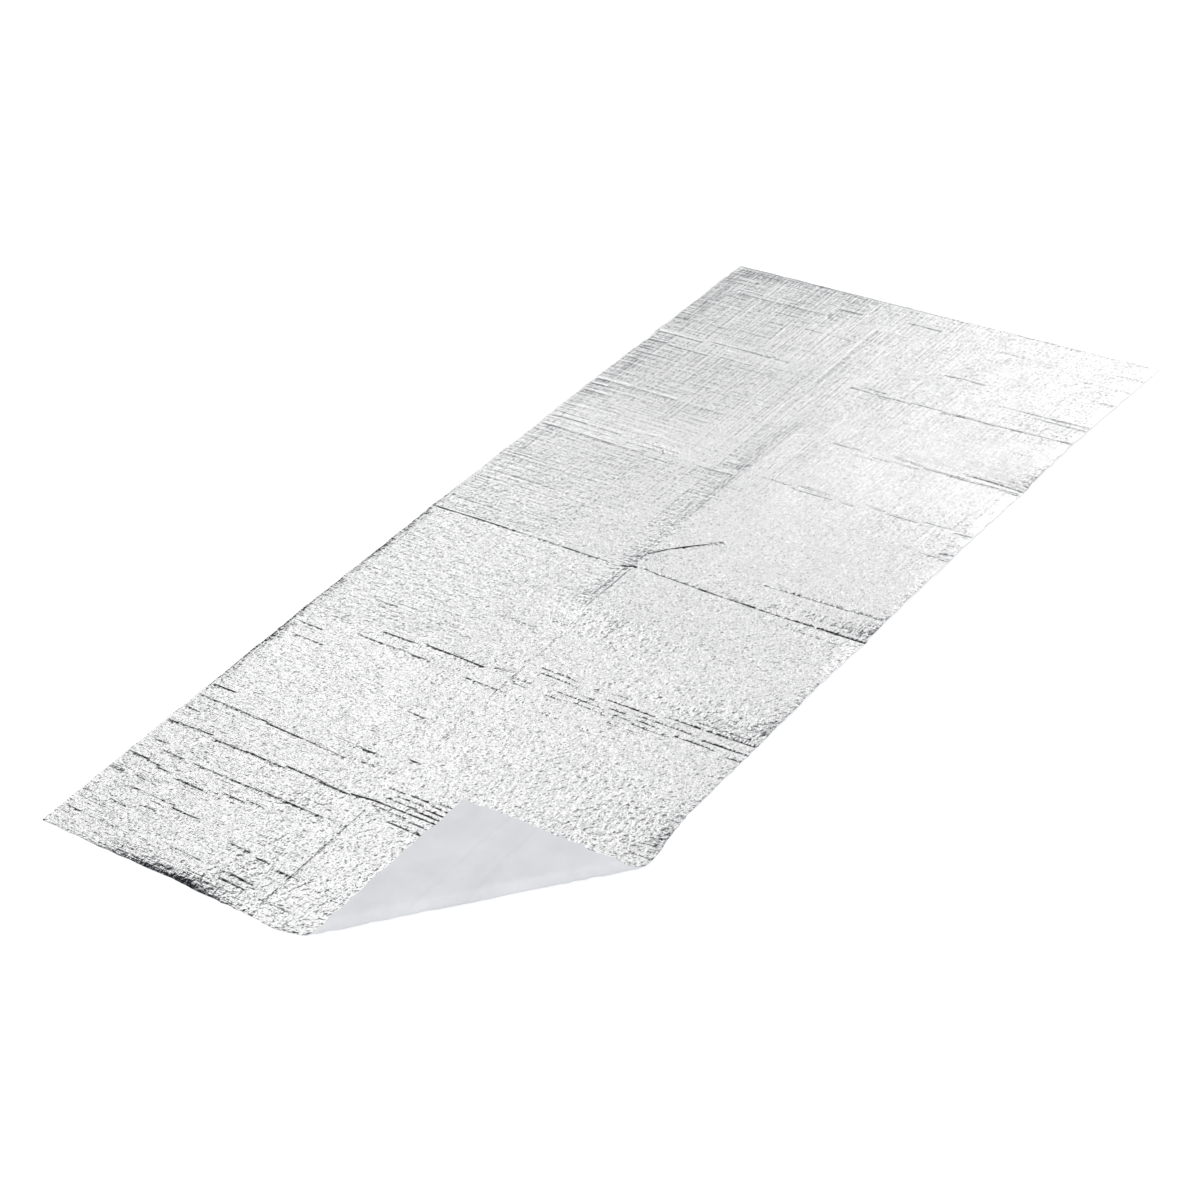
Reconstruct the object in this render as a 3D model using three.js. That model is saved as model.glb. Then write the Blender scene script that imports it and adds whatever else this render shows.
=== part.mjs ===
// A camping ground sheet: one piece of thin foam with a bright foil face, opened out on the floor
// with its foil side up. The folds of its packing still stand in it, its near edge curls over
// towards the floor, and its near right corner is turned back and shows the foam.
// Millimetres, +Z up, +Y along the sheet, origin on the floor under the middle of the sheet.
// A point of the sheet is named by u, across from the left edge, and v, along from the near edge.

import * as THREE from "three";

const { clamp, inverseLerp, lerp, smoothstep } = THREE.MathUtils;

// The sheet as it is cut
const WIDTH = 1000;
const LENGTH = 2000;
const THICKNESS = 2;

// The long edges bow to the left by this much at mid length
const SIDE_BOW = { left: 11.5, right: 6 };

// The turned corner: its bend starts on a line that cuts off this much of the near and right edges
const CORNER_NEAR = 400;
const CORNER_RIGHT = 400;
const BEND_RADIUS = 10.5; // to the middle of the foam
const TIP_GAP = 1.2; // from the corner's tip down to the sheet
const BEND_STRIPS = 10;
const CALM_REACH = 90; // around the corner, over which the other folds fade in

// The lengthwise fold, a trough with a flat bottom that lies on the floor
const TROUGH = { left: 484, line: 497, right: 512 };
// On its left the sheet banks up from it, steeply at first, along the far part of the length
const BANK = { height: 3.5, steep: 45, reach: 300, from: 850, full: 1050, easesAt: 1940 };

// The folds across the sheet, from the near edge to the far one. left, midLeft, midRight and right
// say where each crosses the left edge, the trough's two sides and the right edge. The rises lift
// its line off the floor. The swells lift or sink the panel between it and the next fold, most at
// the peak, a share of the way between the two.
const FOLDS = [
  { left: 0, midLeft: 0, midRight: 0, right: 0 },
  { left: 304, midLeft: 314, midRight: 320, right: 330, riseLeft: 3.5, swellLeft: -3, swellRight: 3.5 },
  { left: 670, midLeft: 696, midRight: 724, right: 733, riseLeft: 3.5, swellLeft: -3, swellRight: 10 },
  { left: 1031, midLeft: 1040, midRight: 1042, right: 1047, riseLeft: 4, swellRight: 9, peak: 0.2 },
  { left: 1345, midLeft: 1361, midRight: 1377, right: 1386, riseRight: 6, swellLeft: 1, swellRight: -1 },
  { left: 1516, midLeft: 1523, midRight: 1530, right: 1546, riseLeft: 2, swellRight: 8, peak: 0.65 },
  { left: 1700, midLeft: 1704, midRight: 1707, right: 1711, riseRight: 7, swellLeft: 1, swellRight: -1.5 },
  { left: 2000, midLeft: 2000, midRight: 2000, right: 2000 },
].map((fold) => ({ riseLeft: 0, riseRight: 0, swellLeft: 0, swellRight: 0, peak: 0.5, ...fold }));
const SWELL_SQUARENESS = 2.5; // over 2 gives a panel a flat top and steep sides
// Shares of the way from the trough to the left edge where the left half's relief is full and where
// it starts to ease, and how much of it is left at the edge. On the right it grows out to the edge.
const LEFT_RELIEF = { full: 0.35, easesAt: 0.6, atEdge: 0.5 };
const CRUSH = { depth: 0.7, halfWidth: 5 }; // foam crushed along the folds, under the foil

// The near edge stands up between two places and rolls over to the floor, which draws it in
const CURL = { from: 30, to: 560, peak: 300, height: 9, roll: 16, reach: 190 };
const DRAWN_IN = { from: 100, full: 330, most: 9 };

// A short wrinkle that runs aslant from the trough
const WRINKLE = { fromU: 488, fromV: 1076, toU: 610, toV: 1181, height: 2.5, halfWidth: 9 };

// The lattice: steps from the trough to an edge, and from one fold to the next
const STEPS_TO_EDGE = [0.04, 0.1, 0.22, 0.4, 0.6, 0.8, 0.94, 1];
const STEPS_TO_FOLD = [0.03, 0.13, 0.3, 0.5, 0.7, 0.87, 0.97, 1];
const ROLL_STEPS = [0.2, 0.5, 1, 2]; // rows over the rolled near edge, as shares of its length
const ROW_GAP = 10; // from the last of those to the next row
const SNAP = 1; // a lattice point this close to a cut is taken to lie on it
const PROBE = 0.5; // half the span over which a slope is measured

const FOIL = new THREE.MeshStandardMaterial({ color: 0xdcdde0, roughness: 0.35, metalness: 0.9 });

// Where a fold crosses the sheet at a given distance from the left edge
function foldAt(fold, u) {
  if (u <= TROUGH.left) return lerp(fold.left, fold.midLeft, u / TROUGH.left);
  if (u >= TROUGH.right) return lerp(fold.midRight, fold.right, inverseLerp(TROUGH.right, WIDTH, u));
  return lerp(fold.midLeft, fold.midRight, inverseLerp(TROUGH.left, TROUGH.right, u));
}

// Distance past the start of the corner's bend, and the direction towards the corner
const ACROSS_BEND = new THREE.Vector2(CORNER_RIGHT, -CORNER_NEAR).normalize();
function pastBend(u, v) {
  return (u - (WIDTH - CORNER_NEAR)) * ACROSS_BEND.x + v * ACROSS_BEND.y;
}

// The bend turns a little more than half round, so that the corner comes down to the sheet
const CORNER_DEPTH = pastBend(WIDTH, 0);
const DROP = 2 * BEND_RADIUS - THICKNESS - TIP_GAP;
const BEND_TURN = Math.PI + Math.asin(DROP / (CORNER_DEPTH - Math.PI * BEND_RADIUS));
const BEND_LENGTH = BEND_RADIUS * BEND_TURN;

// Height of the folds and panels of one half, before they fade towards its sides
function panelHeight(u, v, rise, swell) {
  const last = FOLDS.length - 2;
  const found = FOLDS.findIndex((fold) => foldAt(fold, u) > v);
  const index = found < 0 ? last : clamp(found - 1, 0, last);
  const [fold, next] = [FOLDS[index], FOLDS[index + 1]];
  const along = clamp(inverseLerp(foldAt(fold, u), foldAt(next, u), v), 0, 1);
  const fromPeak = (along - fold.peak) / (along < fold.peak ? fold.peak : 1 - fold.peak);
  const crown = 1 - Math.abs(fromPeak) ** SWELL_SQUARENESS;
  return lerp(fold[rise], next[rise], along) + fold[swell] * crown;
}

function foldRelief(u, v) {
  if (u < TROUGH.left) {
    const away = TROUGH.left - u;
    const out = away / TROUGH.left;
    const easing = lerp(1, LEFT_RELIEF.atEdge, smoothstep(out, LEFT_RELIEF.easesAt, 1));
    const share = smoothstep(out, 0, LEFT_RELIEF.full) * easing;
    const bank = smoothstep(away, 0, BANK.steep) * (1 - smoothstep(away, BANK.steep, BANK.reach));
    const far = smoothstep(v, BANK.from, BANK.full) * (1 - smoothstep(v, BANK.easesAt, LENGTH));
    return share * panelHeight(u, v, "riseLeft", "swellLeft") + BANK.height * bank * far;
  }
  if (u <= TROUGH.right) return 0;
  return inverseLerp(TROUGH.right, WIDTH, u) * panelHeight(u, v, "riseRight", "swellRight");
}

// How strongly the near edge curls at a place across the sheet
function curlShare(u) {
  return smoothstep(u, CURL.from, CURL.peak) * (1 - smoothstep(u, CURL.peak, CURL.to));
}

function curlRelief(u, v) {
  const rolled = Math.sin((Math.PI / 2) * (v / CURL.roll));
  const height = v < CURL.roll ? rolled : 1 - smoothstep(v, CURL.roll, CURL.reach);
  return CURL.height * curlShare(u) * height;
}

// Distances along the slanting wrinkle, from 0 to 1, and to its left
const WRINKLE_RUN = new THREE.Vector2(WRINKLE.toU - WRINKLE.fromU, WRINKLE.toV - WRINKLE.fromV);
function alongWrinkle(u, v) {
  const run = new THREE.Vector2(u - WRINKLE.fromU, v - WRINKLE.fromV);
  return run.dot(WRINKLE_RUN) / WRINKLE_RUN.lengthSq();
}
function besideWrinkle(u, v) {
  const run = new THREE.Vector2(u - WRINKLE.fromU, v - WRINKLE.fromV);
  return WRINKLE_RUN.cross(run) / WRINKLE_RUN.length();
}
function wrinkleRelief(u, v) {
  const along = clamp(alongWrinkle(u, v), 0, 1);
  const beside = Math.abs(besideWrinkle(u, v)) / WRINKLE.halfWidth;
  return WRINKLE.height * Math.sin(Math.PI * along) * Math.max(0, 1 - beside);
}

// Height of the sheet's underside. It lies flat under and around the turned corner.
function relief(u, v) {
  const clear = Math.max(WIDTH - CORNER_NEAR - u, v - CORNER_RIGHT);
  const calm = smoothstep(clear, 0, CALM_REACH);
  return calm * (foldRelief(u, v) + wrinkleRelief(u, v)) + curlRelief(u, v);
}

// Thickness of the sheet, crushed along its folds
function thickness(u, v) {
  const gaps = FOLDS.slice(1, -1).map((fold) => Math.abs(v - foldAt(fold, u)));
  const nearest = Math.min(Math.abs(u - TROUGH.line), ...gaps);
  return THICKNESS - CRUSH.depth * Math.max(0, 1 - nearest / CRUSH.halfWidth);
}

// Places a point of the sheet in space, at a share of its thickness above the foam side
function place(u, v, share) {
  const above = share * thickness(u, v);
  const slopeU = (relief(u + PROBE, v) - relief(u - PROBE, v)) / (2 * PROBE);
  const slopeV = (relief(u, v + PROBE) - relief(u, v - PROBE)) / (2 * PROBE);
  const steepness = Math.hypot(slopeU, slopeV, 1);

  const past = pastBend(u, v);
  const turn = (clamp(past, 0, BEND_LENGTH) / BEND_LENGTH) * BEND_TURN;
  const run = Math.max(past - BEND_LENGTH, 0);
  const middle = BEND_RADIUS + THICKNESS / 2;
  const radius = middle - above / steepness;
  const moved = Math.min(past, 0) + radius * Math.sin(turn) + run * Math.cos(turn) - past;

  const drawnShare = smoothstep(u, DRAWN_IN.from, DRAWN_IN.full) * (1 - smoothstep(past, 0, BEND_LENGTH));
  const drawn = DRAWN_IN.most * drawnShare * (1 - smoothstep(v, 0, CURL.reach));
  const across = u + moved * ACROSS_BEND.x - (slopeU * above) / steepness;
  const along = v + moved * ACROSS_BEND.y - (slopeV * above) / steepness + drawn;
  const middleness = 4 * (along / LENGTH) * (1 - along / LENGTH);
  const bow = lerp(SIDE_BOW.left, SIDE_BOW.right, across / WIDTH) * middleness;
  const height = middle - radius * Math.cos(turn) + run * Math.sin(turn) + relief(u, v);
  return new THREE.Vector3(across - bow, along, height);
}

// Splits flat triangles where a distance changes sign, as far along that line as the cut reaches
function cutAlong(triangles, distance, reaches = () => true) {
  const snapped = (point) => {
    const away = distance(point.x, point.y);
    return Math.abs(away) < SNAP ? 0 : away;
  };
  return triangles.flatMap((corners) => {
    const ring = [];
    let first = -1;
    corners.forEach((point, i) => {
      ring.push(point);
      const next = corners[(i + 1) % 3];
      const [here, there] = [snapped(point), snapped(next)];
      if (here * there >= 0) return;
      const crossing = point.clone().lerp(next, here / (here - there));
      if (!reaches(crossing.x, crossing.y)) return;
      if (first < 0) first = ring.length;
      ring.push(crossing);
    });
    if (first < 0) return [corners];
    const around = [...ring.slice(first), ...ring.slice(0, first)];
    return around.slice(1, -1).map((point, i) => [around[0], point, around[i + 2]]);
  });
}

// The flat sheet as triangles, with edges along every fold, bend strip and side of the wrinkle
function flatTriangles() {
  const columns = [
    ...STEPS_TO_EDGE.map((step) => TROUGH.left * (1 - step)).reverse(),
    TROUGH.left,
    TROUGH.line,
    TROUGH.right,
    ...STEPS_TO_EDGE.map((step) => lerp(TROUGH.right, WIDTH, step)),
  ];
  const rollRows = ROLL_STEPS.map((step) => step * CURL.roll);
  const rows = [0, ...rollRows].map((v) => () => v);
  FOLDS.slice(1).forEach((fold, i) => {
    STEPS_TO_FOLD.forEach((step) => {
      const row = (u) => lerp(foldAt(FOLDS[i], u), foldAt(fold, u), step);
      if (row(0) > rollRows.at(-1) + ROW_GAP) rows.push(row);
    });
  });

  const lattice = new THREE.PlaneGeometry(WIDTH, LENGTH, columns.length - 1, rows.length - 1);
  const { index, attributes } = lattice;
  const points = Array.from({ length: attributes.position.count }, (_, i) => {
    const u = columns[i % columns.length];
    const row = rows[rows.length - 1 - Math.floor(i / columns.length)];
    return new THREE.Vector2(u, row(u));
  });
  let triangles = [];
  for (let i = 0; i < index.count; i += 3) {
    triangles.push([0, 1, 2].map((k) => points[index.getX(i + k)]));
  }

  for (let strip = 0; strip <= BEND_STRIPS; strip += 1) {
    const at = (strip / BEND_STRIPS) * BEND_LENGTH;
    triangles = cutAlong(triangles, (u, v) => pastBend(u, v) - at);
  }
  const reaches = (u, v) => alongWrinkle(u, v) > 0 && alongWrinkle(u, v) < 1;
  for (const side of [-1, 0, 1]) {
    const at = side * WRINKLE.halfWidth;
    triangles = cutAlong(triangles, (u, v) => besideWrinkle(u, v) - at, reaches);
  }
  return triangles;
}

// The sheet: foil and foam faces over the same triangles, closed by a rim around the outline
function groundSheet() {
  const numbers = new Map();
  const flat = [];
  const numberOf = (point) => {
    const key = `${point.x.toFixed(4)},${point.y.toFixed(4)}`;
    if (!numbers.has(key)) numbers.set(key, flat.push(point) - 1);
    return numbers.get(key);
  };
  const faces = flatTriangles().map((corners) => corners.map(numberOf));
  const edges = faces.flatMap(([a, b, c]) => [[a, b], [b, c], [c, a]]);
  const known = new Set(edges.map(([a, b]) => `${a},${b}`));
  const rim = edges.filter(([a, b]) => !known.has(`${b},${a}`));

  const under = (number) => number + flat.length;
  const index = [
    ...faces.flat(),
    ...faces.flatMap(([a, b, c]) => [under(a), under(c), under(b)]),
    ...rim.flatMap(([a, b]) => [b, a, under(a), b, under(a), under(b)]),
  ];
  const points = [1, 0].flatMap((share) => flat.map((point) => place(point.x, point.y, share)));

  const geometry = new THREE.BufferGeometry().setFromPoints(points).setIndex(index);
  geometry.computeBoundingBox();
  const { min, max } = geometry.boundingBox;
  geometry.translate(-(min.x + max.x) / 2, -(min.y + max.y) / 2, -min.z);
  geometry.computeVertexNormals();

  const sheet = new THREE.Mesh(geometry, FOIL);
  sheet.name = "ground_sheet";
  return sheet;
}

const part = new THREE.Group();
part.add(groundSheet());

export default part;
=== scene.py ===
"""Dresses a packed camping ground sheet: thin foam with a foil face, laid out with one corner turned back.

The sheet is drawn flat and then put in its place on the floor. On the flat sheet, u runs across from
the left edge and v runs along from the near edge, both in millimetres. Values at the top of the file are
in millimetres too, unless the comment above them says otherwise.
"""

import math
from collections import namedtuple
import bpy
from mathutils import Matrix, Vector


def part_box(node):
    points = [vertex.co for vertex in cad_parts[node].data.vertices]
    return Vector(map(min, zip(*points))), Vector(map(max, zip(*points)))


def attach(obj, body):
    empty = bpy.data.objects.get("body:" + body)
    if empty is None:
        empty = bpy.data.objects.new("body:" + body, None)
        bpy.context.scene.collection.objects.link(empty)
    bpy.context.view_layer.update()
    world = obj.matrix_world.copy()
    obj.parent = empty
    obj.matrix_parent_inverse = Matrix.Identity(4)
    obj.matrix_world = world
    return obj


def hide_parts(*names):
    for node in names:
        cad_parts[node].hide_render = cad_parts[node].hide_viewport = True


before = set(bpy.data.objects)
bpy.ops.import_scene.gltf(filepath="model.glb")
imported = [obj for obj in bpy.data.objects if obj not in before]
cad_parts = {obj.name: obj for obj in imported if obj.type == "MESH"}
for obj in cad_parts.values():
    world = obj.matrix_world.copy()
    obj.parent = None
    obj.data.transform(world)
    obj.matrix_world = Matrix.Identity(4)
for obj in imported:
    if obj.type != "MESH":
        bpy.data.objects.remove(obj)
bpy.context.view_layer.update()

from types import SimpleNamespace

import bmesh
import bpy
import numpy as np
from bpy.props import FloatProperty, FloatVectorProperty, PointerProperty
from bpy.types import Operator, Panel, PropertyGroup
from mathutils import Matrix, Vector

bl_info = {
    "name": "Camping ground sheet",
    "version": (1, 0, 0),
    "blender": (4, 5, 0),
    "location": "View3D > Sidebar > Ground sheet",
    "description": "Lays out a foil-faced foam ground sheet with its packing creases and a turned corner",
    "category": "Object",
}

MM = 0.001
SHEET_NODE = "ground_sheet"
FLAT_MAP = "flat_sheet"

# How far the solid's box reaches out past the flat sheet's left edge
SOLID_LEFT_BOW = 11.5

# The lengthwise fold: a trough with a flat bottom, which turns into a low crest along the far part
TROUGH_LEFT = 484
TROUGH_RIGHT = 512
CREST_AT = 492
CREST_HEIGHT = 4.3
CREST_HEIGHT_AFAR = 3.2
CREST_LEFT = 95
CREST_RIGHT = 300
CREST_FROM = 820
CREST_FULL = 920
CREST_SINKS_FROM = 1035
CREST_SINKS_TO = 1110
CREST_ENDS_FROM = 1250
CREST_ENDS = 1700

# Folds across the sheet, with where each crosses the left edge, the trough's sides and the right edge,
# how far its line stands up in each half, and how far the panel beyond it swells, most at its peak
Fold = namedtuple("Fold", "left mid_left mid_right right rise_left rise_right swell_left swell_right peak")
FOLDS = (
    Fold(0, 0, 0, 0, 0, 0, 0, 0, 0.5),
    Fold(304, 314, 320, 330, 3, 0, -2, 3, 0.5),
    Fold(670, 696, 714, 728, 3, 0, -2, 5, 0.5),
    Fold(1031, 1040, 1037, 1042, 3, 0, 0, 4, 0.3),
    Fold(1345, 1361, 1374, 1382, 0, 4, 1, -0.9, 0.5),
    Fold(1516, 1523, 1530, 1546, 1.5, 0, 0, 1.9, 0.5),
    Fold(1700, 1703, 1705, 1709, 0, 4, 1, -0.9, 0.5),
    Fold(2000, 2000, 2000, 2000, 0, 0, 0, 0, 0.5),
)

# How square the swells are, how each half's relief runs from the trough to the edge, and how far from the
# turned corner it is full
SWELL_SQUARENESS = 2.2
LEFT_RELIEF_FULL = 0.35
LEFT_RELIEF_EASES_AT = 0.6
LEFT_RELIEF_AT_EDGE = 0.5
RIGHT_RELIEF_POWER = 2
CALM_REACH = 180

# The near edge stands up and rolls over to the floor, which draws it in
CURL_FROM = 70
CURL_PEAK = 335
CURL_TO = 495
CURL_HEIGHT = 4.2
CURL_ROLL = 13
CURL_EASES_FROM = 20
CURL_REACH = 190
DRAWN_FROM = 100
DRAWN_FULL = 330
DRAWN_IN = 4.5
DRAWN_EASES = 60

# The turned corner slides along its bend, from some way before it, its sides are drawn in, and the line
# of its bend strays
FLAP_SLIDES = 22
SLIDE_FROM_NEAR = -35
SLIDE_FROM_RIGHT = -110
SLIDE_FULL = 10
FLAP_NARROWS = 16
BEND_STRAYS = 1.6
BEND_SPAN = 14
BEND_SEED = 3

# Sharp creases, most of which run across the sheet. A height over zero is a ridge and one under zero a
# trough. The width is that of its gentle face, which is a ridge's near one and a trough's far one, for its
# other face is steep and narrow. Broken says how far the crease comes and goes along its length.
Crease = namedtuple("Crease", "start_u start_v end_u end_v height width broken")
CREASES = tuple(Crease(*row) for row in (
    # First fold, a ridge on the left and a bundle of troughs on the right
    (5, 303, 125, 309, 0.95, 3.1, 0.15),
    (118, 302, 205, 302, 0.75, 3.1, 0.15),
    (200, 304, 300, 304, 0.7, 3.1, 0.15),
    (295, 310, 385, 310, 0.65, 3.1, 0.15),
    (380, 308, 452, 308, 0.7, 3.1, 0.15),
    (450, 311, 500, 318, 1, 3.1, 0.15),
    (552, 286, 650, 286, -0.7, 2.8, 0.3),
    (591, 303, 650, 303, -0.65, 2.8, 0.1),
    (508, 306, 584, 306, -0.5, 2.8, 0.3),
    (505, 307, 530, 297, -0.75, 2.6, 0.2),
    (500, 316, 650, 320, -0.9, 2.8, 0.1),
    (582, 329, 650, 329, -0.75, 2.8, 0.1),
    (516, 332, 588, 333, -0.7, 2.8, 0.2),
    (596, 340, 650, 340, -0.65, 2.8, 0.1),
    (528, 344, 590, 344, -0.65, 2.8, 0.2),
    (598, 352, 650, 352, -0.65, 2.8, 0.1),
    (552, 356, 594, 356, -0.7, 2.8, 0.1),
    (498, 354, 540, 354, -0.6, 2.8, 0.3),
    (604, 364, 650, 364, -0.55, 2.8, 0.3),
    # Second fold
    (0, 665, 120, 667, 0.52, 2.8, 0.4),
    (186, 675, 283, 677, 0.85, 3.1, 0.15),
    (290, 682, 436, 683, 0.8, 3.1, 0.15),
    (440, 689, 500, 698, 0.5, 2.6, 0.4),
    (150, 648, 330, 649, 0.6, 3.1, 0.3),
    (340, 645, 520, 645, 0.55, 3.1, 0.55),
    (10, 629, 85, 629, 0.9, 3.1, 0.3),
    (30, 595, 120, 595, 0.75, 3.1, 0.3),
    (527, 728, 617, 728, -0.6, 2.8, 0.35),
    (533, 716, 630, 716, -0.56, 2.8, 0.5),
    (650, 723, 680, 723, -0.5, 2.8, 0.2),
    (692, 730, 730, 730, -0.55, 2.8, 0.2),
    (688, 712, 800, 713, -0.8, 2.8, 0.15),
    (643, 700, 687, 700, -0.6, 2.8, 0.3),
    (767, 702, 793, 703, -0.85, 2.8, 0.1),
    (707, 695, 753, 695, -0.75, 2.8, 0.2),
    (803, 703, 883, 704, -0.75, 2.8, 0.2),
    (813, 722, 890, 723, -0.58, 2.8, 0.25),
    (867, 735, 995, 739, -0.56, 2.8, 0.4),
    (897, 724, 1000, 727, -0.56, 2.8, 0.3),
    (905, 700, 1000, 703, -0.8, 2.8, 0.2),
    (855, 687, 940, 689, -0.85, 2.8, 0.2),
    (767, 691, 815, 691, -0.7, 2.8, 0.2),
    (767, 679, 853, 681, -0.55, 2.8, 0.4),
    (713, 684, 763, 684, -0.6, 2.8, 0.3),
    (597, 689, 703, 689, -0.65, 2.8, 0.15),
    (640, 678, 710, 678, -0.6, 2.8, 0.3),
    (580, 672, 628, 672, -0.55, 2.8, 0.3),
    (500, 684, 543, 684, -0.55, 2.8, 0.2),
    (500, 674, 543, 674, -0.5, 2.8, 0.2),
    (960, 682, 1000, 684, -0.6, 2.8, 0.2),
    (660, 743, 1000, 752, -0.5, 16, 0.4),
    (727, 662, 800, 662, -0.5, 3, 0.5),
    (600, 629, 777, 628, -0.45, 2.6, 0.6),
    (927, 545, 1000, 546, -0.3, 3, 0.5),
    (940, 425, 1000, 425, -0.4, 3, 0.3),
    (968, 408, 1000, 408, -0.3, 3, 0.3),
    # Third fold, at the middle of the length
    (5, 1025, 205, 1028, 1, 3.1, 0.2),
    (200, 1027, 410, 1029, 0.6, 3.1, 0.25),
    (405, 1030, 470, 1025, 0.55, 3.1, 0.3),
    (465, 1029, 498, 1038, 1.15, 3.1, 0.1),
    (503, 1039, 548, 1036, -0.6, 3, 0.2),
    (543, 1036, 655, 1035, -0.62, 3, 0.2),
    (650, 1035, 765, 1037, -0.7, 3, 0.2),
    (760, 1036, 1000, 1040, -0.9, 3, 0.2),
    (860, 1017, 967, 1017, -0.4, 3, 0.4),
    (727, 1098, 1000, 1105, -0.56, 3, 0.4),
    (790, 1052, 1000, 1056, -0.6, 16, 0.3),
    # Fourth fold, a bundle of troughs on the left and a faint ridge on the right
    (5, 1343, 257, 1344, -0.42, 5.5, 0.2),
    (283, 1338, 323, 1338, -0.4, 4.5, 0.1),
    (387, 1355, 480, 1356, -0.3, 5, 0.3),
    (7, 1361, 160, 1361, -0.25, 5, 0.4),
    (200, 1361, 333, 1361, -0.4, 5, 0.3),
    (7, 1376, 187, 1376, -0.5, 5, 0.2),
    (190, 1373, 333, 1373, -0.4, 5, 0.3),
    (140, 1394, 247, 1392, -0.3, 5, 0.4),
    (353, 1392, 380, 1392, -0.35, 4.5, 0),
    (433, 1388, 483, 1388, -0.4, 4.5, 0.2),
    (20, 1403, 145, 1403, -0.25, 5, 0.4),
    (10, 1416, 67, 1416, -0.25, 5, 0.3),
    (530, 1372, 588, 1372, -0.56, 2.8, 0.2),
    (600, 1367, 697, 1370, -0.52, 2.8, 0.2),
    (607, 1380, 683, 1381, -0.5, 3, 0.3),
    (710, 1370, 747, 1370, -0.5, 3, 0.2),
    (767, 1381, 810, 1381, -0.4, 3, 0.2),
    (813, 1377, 885, 1377, -0.5, 3, 0.3),
    (893, 1384, 960, 1384, -0.35, 3, 0.3),
    (960, 1378, 1000, 1378, -0.4, 3, 0.2),
    (960, 1340, 1000, 1340, -0.3, 2.8, 0.2),
    (977, 1313, 1000, 1313, -0.75, 2.8, 0),
    (900, 1303, 1000, 1298, -0.45, 3, 0.5),
    # Fifth and sixth folds
    (3, 1519, 207, 1520, -0.55, 5.5, 0.15),
    (207, 1519, 335, 1517, -0.3, 5.5, 0.4),
    (3, 1500, 47, 1500, -0.5, 5, 0.1),
    (60, 1491, 200, 1491, -0.25, 5, 0.3),
    (3, 1486, 45, 1486, -0.35, 5, 0.2),
    (3, 1474, 67, 1474, -0.5, 5, 0.2),
    (585, 1527, 655, 1527, -0.5, 2.6, 0.3),
    (640, 1508, 690, 1508, -0.45, 2.6, 0.3),
    (680, 1519, 790, 1520, -0.5, 2.8, 0.3),
    (715, 1536, 785, 1533, -0.45, 2.8, 0.3),
    (785, 1530, 1000, 1529, -0.52, 2.8, 0.35),
    (875, 1543, 1000, 1540, -0.6, 3, 0.35),
    (3, 1720, 117, 1719, -0.5, 5, 0.15),
    (143, 1729, 327, 1730, -0.55, 5, 0.15),
    (3, 1686, 53, 1686, -0.5, 5, 0.1),
    (57, 1682, 160, 1682, -0.45, 5, 0.2),
    (180, 1688, 270, 1690, -0.25, 5, 0.3),
    (7, 1662, 110, 1662, -0.3, 5, 0.3),
    (3, 1614, 27, 1614, -0.5, 5, 0),
    (504, 1702, 645, 1701, -0.7, 3, 0.4),
    (503, 1716, 580, 1714, -0.45, 2.8, 0.3),
    (645, 1707, 715, 1707, -0.5, 3, 0.3),
    (715, 1702, 752, 1703, -0.5, 3, 0.3),
    (748, 1704, 880, 1704, -0.6, 3.2, 0.3),
    (875, 1704, 1000, 1706, -0.7, 3.2, 0.25),
    # Lighter creases of the far end
    (790, 1767, 1000, 1770, -0.35, 3, 0.4),
    (815, 1759, 1000, 1758, -0.28, 3, 0.5),
    (643, 1817, 733, 1817, -0.55, 2.8, 0.3),
    (840, 1857, 1000, 1857, -0.28, 3, 0.5),
    (890, 1906, 1000, 1907, -0.25, 3, 0.6),
    (945, 1951, 1000, 1951, -0.35, 2.8, 0.3),
    (697, 1935, 840, 1931, -0.35, 3, 0.5),
    (3, 1848, 120, 1848, -0.35, 5, 0.4),
    (250, 1848, 400, 1848, -0.5, 5, 0.2),
    (7, 1782, 140, 1782, -0.35, 5, 0.3),
    (67, 1907, 300, 1907, -0.4, 5, 0.3),
    (53, 1919, 200, 1919, -0.2, 5, 0.4),
    (27, 1941, 107, 1941, -0.25, 5, 0.4),
    (303, 1940, 360, 1940, -0.6, 5, 0.1),
    (20, 1954, 83, 1954, -0.4, 5, 0.2),
    (465, 1953, 543, 1952, -0.6, 5, 0.2),
    (905, 1642, 1000, 1644, -0.3, 3, 0.6),
    # Lighter creases of the left half
    (60, 1166, 370, 1166, 0.35, 3.4, 0.6),
    (10, 1064, 190, 1064, 0.25, 2.5, 0.5),
    (433, 847, 497, 847, 0.5, 3.1, 0.3),
    (380, 812, 440, 812, 0.5, 3.1, 0.3),
    (100, 744, 155, 744, 0.9, 3.1, 0.3),
    (390, 524, 440, 524, 0.58, 2.7, 0.3),
    # Creases of the near left end
    (5, 417, 65, 418, 1.05, 3.1, 0.1),
    (310, 410, 440, 410, 0.55, 3.1, 0.5),
    (480, 427, 505, 427, 0.95, 3.1, 0.1),
    (5, 383, 180, 383, 0.7, 3.1, 0.3),
    (180, 380, 310, 378, 1.05, 3.1, 0.15),
    (305, 375, 380, 376, 0.55, 3.1, 0.3),
    (375, 385, 505, 387, 0.5, 3.1, 0.45),
    (5, 346, 40, 346, 0.8, 3.1, 0.2),
    (20, 252, 60, 252, 0.55, 3.1, 0.3),
    (60, 236, 120, 236, 0.85, 3.1, 0.25),
    (130, 235, 300, 238, 0.6, 3.1, 0.35),
    (290, 240, 450, 242, 0.7, 3.1, 0.25),
    (450, 245, 500, 246, 0.35, 2.7, 0.5),
    (5, 207, 55, 207, 0.95, 3.1, 0.1),
    (50, 203, 90, 203, 0.85, 3.1, 0.1),
    (85, 198, 125, 198, 0.8, 3.1, 0.15),
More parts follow.
